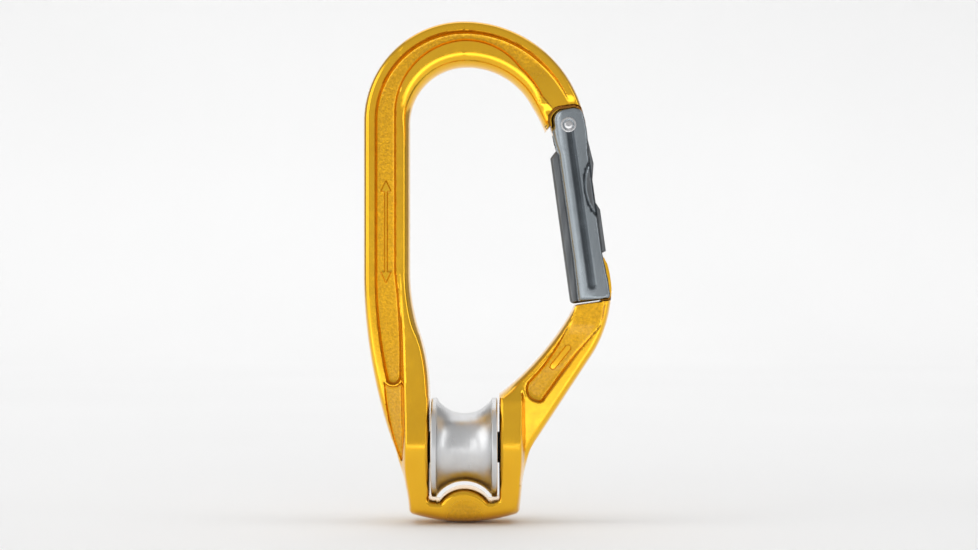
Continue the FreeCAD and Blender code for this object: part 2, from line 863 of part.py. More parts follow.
def check_document():
    doc.recompute()
    for item in doc.Objects:
        if {"Invalid", "Error"} & set(item.State):
            raise RuntimeError(f"{item.Label} is {item.State}")
    for part in sub_parts:
        if part.Shape.isNull() or not part.Shape.isValid() or not part.Shape.Solids:
            raise RuntimeError(f"{part.Label} has no valid solid")


def write_parts():
    os.makedirs(OUT, exist_ok=True)
    for part in sub_parts:
        part.Shape.exportStep(f"{OUT}/{part.Label}.step")
        box = part.Shape.BoundBox
        print(
            f"{part.Label}: {len(part.Shape.Solids)} solids, {part.Shape.Volume:.1f} mm3, "
            f"x {box.XMin:.2f} {box.XMax:.2f} y {box.YMin:.2f} {box.YMax:.2f} "
            f"z {box.ZMin:.2f} {box.ZMax:.2f}"
        )


os.makedirs(OUT, exist_ok=True)
fill_sheet()
build_frame()
build_gate()
build_gate_pin()
build_plunger()
build_gate_spring()
build_sheave()
build_axle()
build_spacers()
build_bearing("left", -1)
build_bearing("right", 1)
check_document()
write_parts()
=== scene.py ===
import math

import bmesh
import bpy
import numpy as np
from mathutils import Matrix, Vector, kdtree
from mathutils.geometry import delaunay_2d_cdt


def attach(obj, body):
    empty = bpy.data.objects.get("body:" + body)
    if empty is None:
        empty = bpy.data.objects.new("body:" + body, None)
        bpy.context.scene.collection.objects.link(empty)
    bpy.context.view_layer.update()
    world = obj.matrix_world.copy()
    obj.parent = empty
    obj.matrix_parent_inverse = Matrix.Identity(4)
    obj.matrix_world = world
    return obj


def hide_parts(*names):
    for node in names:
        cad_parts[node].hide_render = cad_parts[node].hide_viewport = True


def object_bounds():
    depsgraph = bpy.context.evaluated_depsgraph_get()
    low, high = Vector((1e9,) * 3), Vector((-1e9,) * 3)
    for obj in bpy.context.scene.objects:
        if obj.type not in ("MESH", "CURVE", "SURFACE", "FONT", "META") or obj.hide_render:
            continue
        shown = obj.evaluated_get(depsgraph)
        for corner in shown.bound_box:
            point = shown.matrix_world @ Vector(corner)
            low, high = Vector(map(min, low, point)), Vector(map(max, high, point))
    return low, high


# The looks of a pulley carabiner: a gold forged frame, a grey gate and a turned sheave.
# Outlines are in millimetres in the frame's own plane (x, z), with Y through the thickness.

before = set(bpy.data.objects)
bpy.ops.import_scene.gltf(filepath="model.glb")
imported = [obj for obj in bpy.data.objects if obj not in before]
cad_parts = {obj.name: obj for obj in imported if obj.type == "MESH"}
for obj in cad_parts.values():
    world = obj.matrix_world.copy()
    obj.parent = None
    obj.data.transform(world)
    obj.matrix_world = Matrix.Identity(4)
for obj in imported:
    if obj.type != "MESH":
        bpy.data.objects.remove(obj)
CAD_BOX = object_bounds()
MM = 0.001

# ---------------------------------------------------------------- sizes, in millimetres

CROWN_TOP = 112.6
CROWN_LEFT_RADIUS = 26.6
CROWN_RIGHT_RADIUS = 32.5
CROWN_RIGHT_CENTRE = (0, CROWN_TOP - CROWN_RIGHT_RADIUS)
SPINE_OUTER = -26.6
SPINE_INNER = -14.4
SPINE_BEND = 46.5
WINDOW_TOP = (0.65, 100.55)
WINDOW_RIGHT_RADIUS = 19.4
CHEEK_INNER = 9.2
CHEEK_TOP = 14.0
CHEEK_FOOT = (14.7, -15.6)
CHEEK_SHOULDER = 4.0
VALLEY = -13.7
RIM_HALF = 5.6
WEB_HALF = 2.5
CROWN_WEB = 3.5
WING_HALF = 4.7
BOSS_HALF = 5.1
BOSS_ENDS = (7.3, 5.9)
MARK_RISE = 0.35
BAND_LEFT = -15.3
BAND_LEFT_DRIFT = 1.4
BAND_RIGHT = 15.0
BAND_RIGHT_SLOPE = 0.02
BAND_FOLD = 12.6
BAND_FOOT = -9.5
HINGE = (27.37, 85.04)
LEAN = math.radians(8)
TANG_RADIUS = 4.69
HINGE_SPACE = (5.14, 5.2)
HINGE_CORNER = 3.7
HINGE_ZONE = 75.0
ARM_TOP = -47.1
BULB = (1.9, -39.4)
BULB_RADIUS = 3.2
BULB_GAP = 0.35
GATE_HALF = 5.3
GATE_WEB_HALF = 2.4
GATE_SLOT_HALF = 2.7
GATE_SLOT_RADIUS = 5.0
GATE_BOTTOM = -46.8
GATE_LEFT = -3.8
GATE_RIGHT = 4.25
GATE_TOP = 4.6
WEB_LEFT = -5.8
WEB_RIGHT = 5.4
WEB_TOP = -7.3
THUMB = (15.0, -17.6)
THUMB_RADIUS = 13.1
FLUTE_DEPTH = 0.42
FLUTE_HALF = 1.35
FLUTE_LINE = 0.2
FLUTE_END = -42.6
SHEAVE_HALF = 8.7
FLANGE_RADIUS = 13.1
GROOVE_FLOOR = 9.0
GROOVE_RADIUS = 8.85
AXLE_SEAT = 15.2
AXLE_HEAD = 4.5


# ---------------------------------------------------------------- plan geometry


def polar(centre, radius, degrees):
    angle = math.radians(degrees)
    return centre[0] + radius * math.cos(angle), centre[1] + radius * math.sin(angle)


def leaning(u, w):
    """A point of the gate's own frame as a plan point with the gate shut."""
    c, s = math.cos(LEAN), math.sin(LEAN)
    return HINGE[0] + u * c - w * s, HINGE[1] + u * s + w * c


def trace(loop, step):
    """Points along a closed loop of (x, z, arc radius or 0): anticlockwise arcs are positive."""
    points = []
    for i, (x, z, radius) in enumerate(loop):
        start = np.array((x, z))
        end = np.array(loop[(i + 1) % len(loop)][:2])
        chord = end - start
        length = np.linalg.norm(chord)
        count = max(1, round(length / step))
        t = np.linspace(0, 1, count, endpoint=False)[:, None]
        if radius == 0:
            points.append(start + chord * t)
            continue
        rise = math.sqrt(max(radius * radius - length * length / 4, 0))
        left = np.array((-chord[1], chord[0])) / length
        centre = (start + end) / 2 + left * math.copysign(rise, radius)
        first = math.atan2(*(start - centre)[::-1])
        turn = 2 * math.asin(min(1, length / 2 / abs(radius))) * math.copysign(1, radius)
        angles = first + turn * t[:, 0]
        points.append(centre + abs(radius) * np.stack((np.cos(angles), np.sin(angles)), 1))
    return np.concatenate(points)


def nearest(points, loop, closed=True):
    """The distance from each point to a line of points, and the index of the nearest segment."""
    a = loop if closed else loop[:-1]
    b = np.roll(loop, -1, axis=0) if closed else loop[1:]
    d = b - a
    size = np.maximum((d * d).sum(1), 1e-12)
    best = np.full(len(points), np.inf)
    index = np.zeros(len(points), int)
    for start in range(0, len(points), 4000):
        p = points[start : start + 4000, None, :]
        t = np.clip(((p - a) * d).sum(2) / size, 0, 1)
        gap = p - a - t[:, :, None] * d
        dist = (gap * gap).sum(2)
        at = dist.argmin(1)
        rows = np.arange(len(at))
        best[start : start + 4000] = np.sqrt(dist[rows, at])
        index[start : start + 4000] = at
    return best, index


def inside(points, loop):
    """Whether each point is inside a closed loop."""
    x, z = points[:, 0], points[:, 1]
    hit = np.zeros(len(points), bool)
    for (x0, z0), (x1, z1) in zip(loop, np.roll(loop, -1, axis=0)):
        if z0 == z1:
            continue
        crosses = (z0 > z) != (z1 > z)
        hit ^= crosses & (x < x0 + (z - z0) * (x1 - x0) / (z1 - z0))
    return hit


def depth_in(points, loop):
    """Signed distance to a loop: positive inside."""
    dist, _ = nearest(points, loop)
    return np.where(inside(points, loop), dist, -dist)


def smooth(t):
    t = np.clip(t, 0, 1)
    return t * t * (3 - 2 * t)


def soft_plus(x, soft):
    """max(x, 0) with its corner rounded over the width of soft."""
    return (x + np.sqrt(x * x + soft * soft)) / 2


def shoulder(depth, width, power, upright=0.0):
    """0 at an outline and 1 from width inside it: an upright wall, then a superellipse."""
    t = np.clip(depth / width, 0, 1)
    arch = (1 - (1 - t) ** power) ** (1 / power)
    return np.where(depth > 0.01, upright + (1 - upright) * arch, 0)


def recess(depth, width):
    """0 outside a pocket and 1 on its floor: a crisp top edge, then a filleted foot."""
    t = np.clip((depth + 0.12 * width) / width, 0, 1)
    return (1 - (1 - t) ** 3.8) * smooth(t / 0.28)


def line_at(share, low, high):
    """1 where a share lies between low and high, fading out on both sides."""
    soft = (high - low) / 3
    return smooth((share - low) / soft + 0.5) * smooth((high - share) / soft + 0.5)


# ---------------------------------------------------------------- relief meshes


def offset_rows(loop, depths, both_sides=False):
    """Points at set distances inside a loop, or on both sides, clear of its other stretches."""
    ahead = np.roll(loop, -1, axis=0) - np.roll(loop, 1, axis=0)
    normal = np.stack((-ahead[:, 1], ahead[:, 0]), 1)
    normal /= np.linalg.norm(normal, axis=1)[:, None]
    rows = []
    for depth in depths:
        for side in (1, -1) if both_sides and depth > 0 else (1,):
            row = loop + side * depth * normal
            dist, _ = nearest(row, loop)
            rows.append(row[dist > depth - 0.01])
    return np.concatenate(rows)


def thin_out(groups, gaps):
    """Joins groups of points, dropping those too close to a point of an earlier group."""
    kept = groups[0]
    for group, gap in zip(groups[1:], gaps):
        tree = kdtree.KDTree(len(kept))
        for i, (x, z) in enumerate(kept):
            tree.insert((x, z, 0), i)
        tree.balance()
        far = [p for p in group if tree.find((p[0], p[1], 0))[2] > gap]
        if far:
            kept = np.concatenate((kept, np.array(far)))
    return kept


def relief(name, loops, rows, grid_step, height):
    """A solid with the same relief on both faces: y = height(points), and 0 at the outline.

    loops are the outlines whose union is the plan, rows extra points where the relief is steep,
    and height gives the half thickness, a floor mask and a mask of painted shade for creases and
    gaps at plan points."""
    low = np.min([loop.min(0) for loop in loops], axis=0)
    high = np.max([loop.max(0) for loop in loops], axis=0)
    xs = np.arange(low[0], high[0], grid_step)
    zs = np.arange(low[1], high[1], grid_step * 0.87)
    grid = np.array([(x + grid_step / 2 * (j % 2), z) for j, z in enumerate(zs) for x in xs])
    held = np.zeros(len(grid), bool)
    for loop in loops:
        held |= inside(grid, loop)
    grid = grid[held]
    outline = np.concatenate(loops)
    points = thin_out([outline, *rows, grid], [0.012] + [0.1] * (len(rows) - 1) + [grid_step * 0.6])
    faces, start = [], 0
    for loop in loops:
        faces.append(list(range(start, start + len(loop))))
        start += len(loop)
    verts, _, tris, *_ = delaunay_2d_cdt([Vector(p) for p in points], [], faces, 1, 1e-5)
    plan = np.array([(v.x, v.y) for v in verts])
    tris = [t if turns_left(plan, t) else t[::-1] for t in tris]
    rim = rim_vertices(tris)
    used = sorted({i for t in tris for i in t})
    half, *masks = height(plan)
    half[list(rim)] = 0
    front = {i: k for k, i in enumerate(used)}
    back, count = {}, len(used)
    for i in used:
        back[i] = front[i] if i in rim else count
        count += i not in rim
    coords = np.zeros((count, 3))
    values = np.zeros((2, count))
    for i in used:
        coords[front[i]] = (plan[i, 0], -half[i], plan[i, 1])
        coords[back[i]] = (plan[i, 0], half[i], plan[i, 1])
        for row, mask in zip(values, masks):
            row[front[i]] = row[back[i]] = mask[i]
    polygons = [[front[i] for i in t] for t in tris] + [[back[i] for i in t[::-1]] for t in tris]
    mesh = bpy.data.meshes.new(name)
    mesh.from_pydata([Vector(c) * MM for c in coords], [], polygons)
    for attribute, row in zip(("floor", "painted_shade"), values):
        layer = mesh.attributes.new(attribute, "FLOAT", "POINT")
        layer.data.foreach_set("value", row.astype(np.float32))
    return add_piece(name, mesh)


def turns_left(plan, triangle):
    a, b, c = (plan[i] for i in triangle[:3])
    return (b[0] - a[0]) * (c[1] - a[1]) - (b[1] - a[1]) * (c[0] - a[0]) > 0


def rim_vertices(tris):
    """The vertices on edges that only one triangle has."""
    uses = {}
    for t in tris:
        for i, j in zip(t, t[1:] + t[:1]):
            key = (min(i, j), max(i, j))
            uses[key] = uses.get(key, 0) + 1
    return {i for key, n in uses.items() if n == 1 for i in key}


def add_piece(name, mesh, angle=40):
    """A smooth-shaded object whose edges sharper than the angle stay sharp."""
    mesh.validate()
    obj = bpy.data.objects.new(name, mesh)
    bpy.context.collection.objects.link(obj)
    mesh.shade_smooth()
    mesh.set_sharp_from_angle(angle=math.radians(angle))
    return obj


def lathe(name, profile, axis, segments=160):
    """A solid turned about an axis, from (along, radius) points that end on or off the axis."""
    bm = bmesh.new()
    rings = []
    closed = profile[0][1] > 1e-6
    for along, radius in profile:
        if radius < 1e-6:
            rings.append([bm.verts.new((along * MM, 0, 0))])
            continue
        ring = []
        for k in range(segments):
            a = 2 * math.pi * k / segments
            ring.append(
                bm.verts.new((along * MM, radius * math.cos(a) * MM, radius * math.sin(a) * MM))
            )
        rings.append(ring)
    pairs = list(zip(rings, rings[1:]))
    if closed:
        pairs.append((rings[-1], rings[0]))
    for a, b in pairs:
        for k in range(segments):
            n = (k + 1) % segments
            quad = [a[k % len(a)], a[n % len(a)], b[n % len(b)], b[k % len(b)]]
            corners = list(dict.fromkeys(quad))
            if len(corners) > 2:
                bm.faces.new(corners)
    bmesh.ops.recalc_face_normals(bm, faces=bm.faces)
    turn = {"X": Matrix(), "Y": Matrix.Rotation(math.pi / 2, 4, "Z")}[axis]
    bmesh.ops.transform(bm, matrix=turn, verts=bm.verts)
    mesh = bpy.data.meshes.new(name)
    bm.to_mesh(mesh)
    bm.free()
    return add_piece(name, mesh, angle=30)


def rounded(profile, radius, steps=5):
    """A profile with its corners rounded: (along, radius) points, or with their own radius."""
    points = []
    for i, corner in enumerate(profile):
        p = np.array(corner[:2], float)
        r = corner[2] if len(corner) > 2 else radius
        if r == 0 or i in (0, len(profile) - 1):
            points.append(tuple(p))
            continue
        a = np.array(profile[i - 1][:2], float) - p
        b = np.array(profile[i + 1][:2], float) - p
        la, lb = np.linalg.norm(a), np.linalg.norm(b)
        r = min(r, la / 2, lb / 2)
        start, end = p + a / la * r, p + b / lb * r
        for t in np.linspace(0, 1, steps):
            points.append(tuple((1 - t) ** 2 * start + 2 * t * (1 - t) * p + t * t * end))
    return points


def prism(name, loop, half):
    """A closed prism over a plan loop, from -half to half in Y."""
    n = len(loop)
    coords = [(x * MM, -half * MM, z * MM) for x, z in loop]
    coords += [(x * MM, half * MM, z * MM) for x, z in loop]
    faces = [list(range(n))[::-1], list(range(n, 2 * n))]
    faces += [[i, (i + 1) % n, n + (i + 1) % n, n + i] for i in range(n)]
    mesh = bpy.data.meshes.new(name)
    mesh.from_pydata(coords, [], faces)
    obj = bpy.data.objects.new(name, mesh)
    bpy.context.collection.objects.link(obj)
    bm = bmesh.new()
    bm.from_mesh(mesh)
    bmesh.ops.recalc_face_normals(bm, faces=bm.faces)
    bm.to_mesh(mesh)
    bm.free()
    return obj


def rod(name, start, end, radius, segments=96):
    """A plain cylinder along X, used as a cutter."""
    return lathe(name, [(start, 0), (start, radius), (end, radius), (end, 0)], "X", segments)


def cut(piece, cutters, angle=38):
    """Cuts each cutter out of a piece and deletes it. Edges sharper than the angle stay sharp."""
    for cutter in cutters:
        modifier = piece.modifiers.new("cut", "BOOLEAN")
        modifier.operation = "DIFFERENCE"
        modifier.solver = "EXACT"
        modifier.object = cutter
    graph = bpy.context.evaluated_depsgraph_get()
    mesh = bpy.data.meshes.new_from_object(piece.evaluated_get(graph))
    piece.modifiers.clear()
    old = piece.data
    piece.data = mesh
    bpy.data.meshes.remove(old)
    for cutter in cutters:
        bpy.data.objects.remove(cutter)
    mesh.shade_smooth()
    mesh.set_sharp_from_angle(angle=math.radians(angle))


# ---------------------------------------------------------------- frame


def frame_outline():
    """The C-shaped plan as (x, z, arc radius) with the wall that stands on each stretch."""
    foot_x, foot_z = CHEEK_FOOT
    left_window = WINDOW_TOP[0] - SPINE_INNER
    window_right = (WINDOW_TOP[0], WINDOW_TOP[1] - WINDOW_RIGHT_RADIUS)
    bulb_u, bulb_w = BULB
    return [
        (-13.2, -17.65, 46.0, "base"),
        (13.2, -17.65, 1.9, "base"),
        (foot_x, foot_z, 0, "outer"),
        (foot_x + 0.6, foot_z + 6.1, -30, "outer"),
        (20.3, CHEEK_SHOULDER, 0, "outer"),
        (32.8, 23.1, 33, "outer"),
        (*leaning(5.4, ARM_TOP + 3), 33, "tang"),
        (*leaning(5.2, bulb_w + 1.8), 0, "tang"),
        (*leaning(4.5, bulb_w + 3.7), 0, "tang"),
        (*leaning(bulb_u, bulb_w + BULB_RADIUS), BULB_RADIUS, "tang"),
        (*leaning(bulb_u - BULB_RADIUS, bulb_w), BULB_RADIUS, "tang"),
        (*leaning(bulb_u, bulb_w - BULB_RADIUS), 0, "tang"),
        (*leaning(bulb_u, ARM_TOP), 0, "step"),
        (*leaning(WEB_LEFT + 1.4, ARM_TOP), 1.2, "step"),
        (*leaning(WEB_LEFT + 0.4, ARM_TOP - 1), -78, "arm"),
        (CHEEK_INNER, CHEEK_TOP, 0, "machined"),
        (CHEEK_INNER, VALLEY + 1, -1.0, "machined"),
        (CHEEK_INNER - 1, VALLEY, 0, "saddle"),
        (6.5, VALLEY, 8.05, "saddle"),
        (-6.5, VALLEY, 0, "saddle"),
        (1 - CHEEK_INNER, VALLEY, -1.0, "saddle"),
        (-CHEEK_INNER, VALLEY + 1, 0, "machined"),
        (-CHEEK_INNER, CHEEK_TOP, 52.5, "neck"),
        ((SPINE_INNER - CHEEK_INNER) / 2, (SPINE_BEND + CHEEK_TOP) / 2, -52.5, "inner"),
        (SPINE_INNER, SPINE_BEND, 0, "inner"),
        (SPINE_INNER, WINDOW_TOP[1] - left_window, -left_window, "basket"),
        (*WINDOW_TOP, -WINDOW_RIGHT_RADIUS, "basket"),
        (*polar(window_right, WINDOW_RIGHT_RADIUS, 27), -35, "inner"),
        (21.35, 83.3, 0, "tang"),
        (*polar(HINGE, TANG_RADIUS, 183), TANG_RADIUS, "tang"),
        (*polar(HINGE, TANG_RADIUS, 249), 4.12, "tang"),
        (*polar(HINGE, 2.88, 302), 0, "tang"),
        (*polar(HINGE, TANG_RADIUS, 302), TANG_RADIUS, "tang"),
        (*polar(CROWN_RIGHT_CENTRE, CROWN_RIGHT_RADIUS, 10.25), CROWN_RIGHT_RADIUS, "outer"),
        (0, CROWN_TOP, CROWN_LEFT_RADIUS, "outer"),
        (SPINE_OUTER, CROWN_TOP - CROWN_LEFT_RADIUS, 0, "outer"),
        (SPINE_OUTER, SPINE_BEND, 137, "outer"),
        (-19.9, CHEEK_SHOULDER, 0, "outer"),
        (-foot_x - 1.7, foot_z + 9, -42, "outer"),
        (-foot_x, foot_z, 1.9, "outer"),
    ]


# How wide each kind of wall is, how square its corner is, and how much of it stands upright.
WALLS = {
    "outer": (1.75, 2.6, 0.0),
    "inner": (2.3, 2.0, 0.15),
    "basket": (3.7, 2.0, 0.0),
    "arm": (1.8, 2.2, 0.2),
    "base": (2.6, 2.1, 0.0),
    "machined": (1.1, 2.0, 0.78),
    "neck": (1.5, 2.0, 0.55),
    "saddle": (1.5, 1.9, 0.45),
    "tang": (0.35, 2.2, 0.6),
    "step": (0.3, 2.2, 0.6),
}


def smoothed(values, passes):
    """A closed row of values, averaged with its neighbours again and again."""
    for _ in range(passes):
        values = (np.roll(values, 1) + 2 * values + np.roll(values, -1)) / 4
    return values


def crown_pocket():
    """The I-beam recess: up the spine, around the crown and out to the hinge."""
    wall = SPINE_OUTER + 3.2
    bead = SPINE_INNER - 3.5
    return [
        (-20.3, 17.6, 2.2),
        (-16.5, 19.0, 203),
        (bead, SPINE_BEND, 0),
        (bead, 88.0, -19.0),
        (0, CROWN_TOP - 5.6, -17.5),
        (14.5, CROWN_TOP - 12.7, -26),
        (20.3, 92.6, 0),
        (22.3, 90.2, 0),
        (24.5, 87.4, 0),
        (28.6, 87.0, 0),
        (*polar(CROWN_RIGHT_CENTRE, CROWN_RIGHT_RADIUS - 2.9, 20.0), CROWN_RIGHT_RADIUS - 2.9),
        (0, CROWN_TOP - 2.9, CROWN_LEFT_RADIUS - 3.1),
        (wall, CROWN_TOP - CROWN_LEFT_RADIUS, 0),
        (wall, SPINE_BEND, 128),
    ]


def crown_floor(plan):
    """The web's half thickness, which climbs to the boss around the hinge."""
    _, w = gate_plane(plan)
    rise = smooth((17 - w) / 11) * (plan[:, 0] > 0)
    return CROWN_WEB + (BOSS_HALF - CROWN_WEB) * rise


def arm_pocket():
    """The recess in the arm, open at its top onto the flat below the nose."""
    return [
        (16.8, 17.6, 3.4),
        (19.0, 12.3, 1.6),
        (21.2, 13.3, 0),
        (30.0, 25.4, 0),
        (35.9, 32.4, 30),
        (36.9, 40.0, 0),
        (29.6, 40.0, 0),
        (27.9, 33.6, -60),
    ]


def arm_floor(plan):
    """The arm's half thickness in its recess, which climbs to the flat below the nose."""
    return 3.3 + 1.75 * smooth((plan[:, 1] - 20) / 13)


def wing_pocket():
    """The low triangular web between the spine's outer rim and the left cheek's band."""
    return [
        (-20.95, 17.5, 2.75),
        (-16.45, 17.5, 0),
        (-15.9, -3.0, 0),
        (-16.6, -3.0, -60),
    ]


def wing_floor(plan):
    return np.full(len(plan), WING_HALF)


def arrow_mark():
    """A plain double-headed arrow up the spine: the load's direction."""
    x, low, high = -20.6, 43.5, 70.5
    shaft, head, rise = 0.35, 1.35, 2.9
    return [
        (x, low, 0),
        (x + head, low + rise, 0),
        (x + shaft, low + rise, 0),
        (x + shaft, high - rise, 0),
        (x + head, high - rise, 0),
        (x, high, 0),
        (x - head, high - rise, 0),
        (x - shaft, high - rise, 0),
        (x - shaft, low + rise, 0),
        (x - head, low + rise, 0),
    ]


def pad_mark():
    """A plain raised bar on the arm's floor."""
    middle, along, across = np.array((25.3, 24.0)), np.array((0.62, 0.785)), (-0.785, 0.62)
    half_length, half_width, end_radius = 3.3, 0.75, 0.76
    ends = [middle + along * s * half_length for s in (-1, 1)]
    side = np.array(across) * half_width
    return [
        (*(ends[0] + side), end_radius),
        (*(ends[0] - side), 0),
        (*(ends[1] - side), end_radius),
        (*(ends[1] + side), 0),
    ]


def band_height(z):
    """Half thickness of the cheeks' raised bands, by height."""
    stations = np.array([-20.0, -15.6, -10.0, -5.5, -2.0, 1.0, 4.0, 7.0, 14.0, 28.0, 46.0, 120.0])
    halves = np.array([5.9, 6.8, 7.7, 8.8, 9.75, 10.0, 9.65, 8.9, 8.1, 6.75, 5.6, 5.6])
    spread, samples = 3.6, 13
    value = np.zeros_like(z)
    for shift in np.linspace(-spread, spread, samples):
        value += np.interp(z + shift, stations, halves)
    return value / samples


def left_band_edge(z):
    """The x of the left band's outer edge, which drifts outwards up to the spine's bend."""
    climb = np.clip((z - CHEEK_SHOULDER) / (SPINE_BEND - CHEEK_SHOULDER), 0, 1)
    return BAND_LEFT - BAND_LEFT_DRIFT * climb


def frame_height(outline, kinds, pockets):
    """The frame's half thickness, grained floors and painted shade in its creases and gaps, as a
    function of plan points.
    """
    shape = np.array([WALLS[k] for k in kinds])
    blended = np.stack([smoothed(column, 24) for column in shape.T], 1)
    fixed = np.isin(kinds, ("machined", "tang", "step"))
    width, power, upright = np.where(fixed[:, None], shape, blended).T

    def height(plan):
        x, z = plan[:, 0], plan[:, 1]
        depth, near = nearest(plan, outline)
        u, w = gate_plane(plan)
        by_hinge = z > HINGE_ZONE
        boss_end = np.where(u > -2, *BOSS_ENDS)
        faded = smooth((boss_end - w) / 2.4 + 0.25) * by_hinge * (x > 10)
        body = RIM_HALF - (RIM_HALF - BOSS_HALF) * faded
        band = band_height(z)
        right_drift = BAND_RIGHT_SLOPE * (z - CHEEK_SHOULDER)
        beyond_left = soft_plus(left_band_edge(z) - x, 0.25)
        beyond_right = soft_plus(x - BAND_RIGHT - right_drift, 0.25)
        above_fold = soft_plus(z - BAND_FOLD, 0.35)
        lower_left = 3.2 * beyond_left
        lower_right = 4.0 * beyond_right + 0.55 * above_fold
        raised = band - np.where(x < 0, lower_left, lower_right)
        top = np.maximum(body, raised)
        low = z < BAND_FOOT
        top = np.where(low, band, top)
        blend = np.clip(1 - np.abs(body - raised) / 0.7, 0, 1)
        top = top + np.where(low, 0, 0.175 * blend * blend)
        half = top * shoulder(depth, width[near], power[near], upright[near])
        mask = smooth((z - 33) / 3) * (z < 42) * (x > 20) * smooth((depth - 1.2) / 0.5)
        # Painted shade down the valley between the right band and the arm's wedge.
        valley_shade = smooth((x - BAND_RIGHT - 0.15) / 0.3) * smooth((raised - body - 0.2) / 0.8)
        painted_shade = 0.55 * valley_shade * (z > -3.5) * (z < BAND_FOLD)
        flank = smooth((6.9 - top) / 0.8)
        for loop, floor, slope in pockets:
            full = recess(depth_in(plan, loop), slope)
            share = full * flank
            sunk = smooth((half - floor(plan)) / 0.5)
            half = half + (np.minimum(half, floor(plan)) - half) * share
            mask = np.maximum(mask, smooth((share - 0.9) / 0.1))
            # Painted shade along each pocket's wall.
            painted_shade = np.maximum(painted_shade, line_at(full, 0.12, 0.62) * sunk * flank)
        mask *= 1 - smooth((20 - w) / 10) * by_hinge * (x > 0)
        mask = np.maximum(mask, smooth((6 - np.hypot(x, z + 18)) / 3) * 0.8)
        beside_nose = np.where(w < -30, np.minimum(w - ARM_TOP, 14 - np.abs(u)), -1)
        for space in (hinge_space(u, w), beside_nose):
            share = smooth((space + 0.06) / 0.18)
            half = half + (np.minimum(half, WEB_HALF) - half) * share
            # Painted shadow along the edges of the space the gate's top turns in and of the ledge
            # beside the nose.
            painted_shade = np.maximum(painted_shade, 1.6 * share * smooth((0.75 - space) / 0.3))
        return half, mask, painted_shade

    return height


def hinge_space(u, w):
    """Signed distance into the round-cornered space the gate's top turns in."""
    corner = HINGE_CORNER
    across = np.abs(u) - (HINGE_SPACE[0] - corner)
    along = w - (HINGE_SPACE[1] - corner)
    outside = np.hypot(np.maximum(across, 0), np.maximum(along, 0))
    space = corner - outside - np.minimum(np.maximum(across, along), 0)
    return np.where(w > -14, space, -1)


def gate_plane(plan):
    """Plan points in the gate's own frame."""
    c, s = math.cos(LEAN), math.sin(LEAN)
    dx, dz = plan[:, 0] - HINGE[0], plan[:, 1] - HINGE[1]
    return dx * c + dz * s, -dx * s + dz * c


def hinge_edge_rows():
    """Points along the edge of the space that the gate's top turns in."""
    wide, tall = HINGE_SPACE
    corner = trace([
        (-wide, -3, 0),
        (-wide, tall - HINGE_CORNER, -HINGE_CORNER),
        (HINGE_CORNER - wide, tall, 0),
        (wide - HINGE_CORNER, tall, -HINGE_CORNER),
        (wide, tall - HINGE_CORNER, 0),
        (wide, -3, 0),
    ], 0.35)
    edge = np.array([leaning(u, w) for u, w in corner])
    return offset_rows(edge, (0, 0.06, 0.12), both_sides=True)


def ledge_rows():
    """Points along the ledge that the gate's lower end shuts over."""
    ledge = np.array([leaning(u, ARM_TOP) for u in np.arange(-6, 6.5, 0.4)])
    return np.concatenate([ledge + (0, d) for d in (-0.06, 0.0, 0.06, 0.12)])


def hinge_patch():
    """A fine grid over the crown's end, around the hinge."""
    return np.array([
        leaning(u, w) for u in np.arange(-9.5, 5, 0.3) for w in np.arange(-1, 13, 0.3)
    ])


def make_frame():
    """The forging: its relief, then the two round seats for the axle's heads."""
    loop = frame_outline()
    outline = trace([p[:3] for p in loop], 0.5)
    kinds = labels(loop, 0.5)
    marks = [trace(mark, 0.3) for mark in (arrow_mark(), pad_mark())]
    pockets = [
        (trace(crown_pocket(), 0.45), crown_floor, 1.45),
        (trace(arm_pocket(), 0.45), arm_floor, 1.6),
        (trace(wing_pocket(), 0.4), wing_floor, 0.9),
    ]
    base_height = frame_height(outline, kinds, pockets)

    def height(plan):
        half, mask, painted_shade = base_height(plan)
        for mark in marks:
            share = smooth(depth_in(plan, mark) / 0.25 + 0.5)
            half += MARK_RISE * share
            mask *= 1 - share
        return half, mask, painted_shade

    wall_rows = offset_rows(
        outline, (0.03, 0.08, 0.16, 0.28, 0.45, 0.68, 0.95, 1.3, 1.7, 2.2, 2.8, 3.4)
    )
    pocket_depths = (0, 0.12, 0.26, 0.42, 0.62, 0.9, 1.25, 1.7)
    groups = [
        hinge_edge_rows(),
        ledge_rows(),
        *[offset_rows(path, pocket_depths) for path, *_ in pockets],
        *[offset_rows(path[::-1], (0.12, 0.26, 0.45)) for path, *_ in pockets],
        *[offset_rows(path, (0, 0.13), both_sides=True) for path in marks],
        band_edge_rows(),
        hinge_patch(),
    ]
    rows = [wall_rows, *[group[inside(group, outline)] for group in groups]]
    piece = relief("frame_forging", [outline], rows, 0.62, height)
    seats = [
        rod("seat_left", -30, -AXLE_SEAT, AXLE_HEAD + 0.05),
        rod("seat_right", AXLE_SEAT, 30, AXLE_HEAD + 0.05),
    ]
    cut(piece, seats)
    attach(piece, "frame")
    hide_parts("frame")
    return piece


def labels(loop, step):
    """The kind of wall on each traced point, in the order of trace."""
    kinds = []
    for i, (x, z, _, kind) in enumerate(loop):
        nx, nz = loop[(i + 1) % len(loop)][:2]
        count = max(1, round(math.hypot(nx - x, nz - z) / step))
        kinds += [kind] * count
    return np.array(kinds)


def band_edge_rows():
    """Points along the edges of the cheeks' raised bands."""
    rows = []
    for z in np.arange(-10, 46, 0.32):
        edge = left_band_edge(z)
        rows += [(edge + d, z) for d in (-1.7, -1.4, -1.2, -0.85, -0.55, -0.3, -0.1, 0.1, 0.35)]
    for z in np.arange(-10, 13, 0.45):
        edge = BAND_RIGHT + BAND_RIGHT_SLOPE * (z - CHEEK_SHOULDER)
        rows += [(edge + d, z) for d in (-0.3, -0.1, 0.1, 0.3, 0.5, 0.7, 0.9, 1.1, 1.3)]
    for x in np.arange(9.4, 16, 0.45):
        rows += [(x, BAND_FOLD + d) for d in (-0.5, -0.2, 0, 0.2, 0.5, 0.9)]
    return np.array(rows)


# ---------------------------------------------------------------- gate


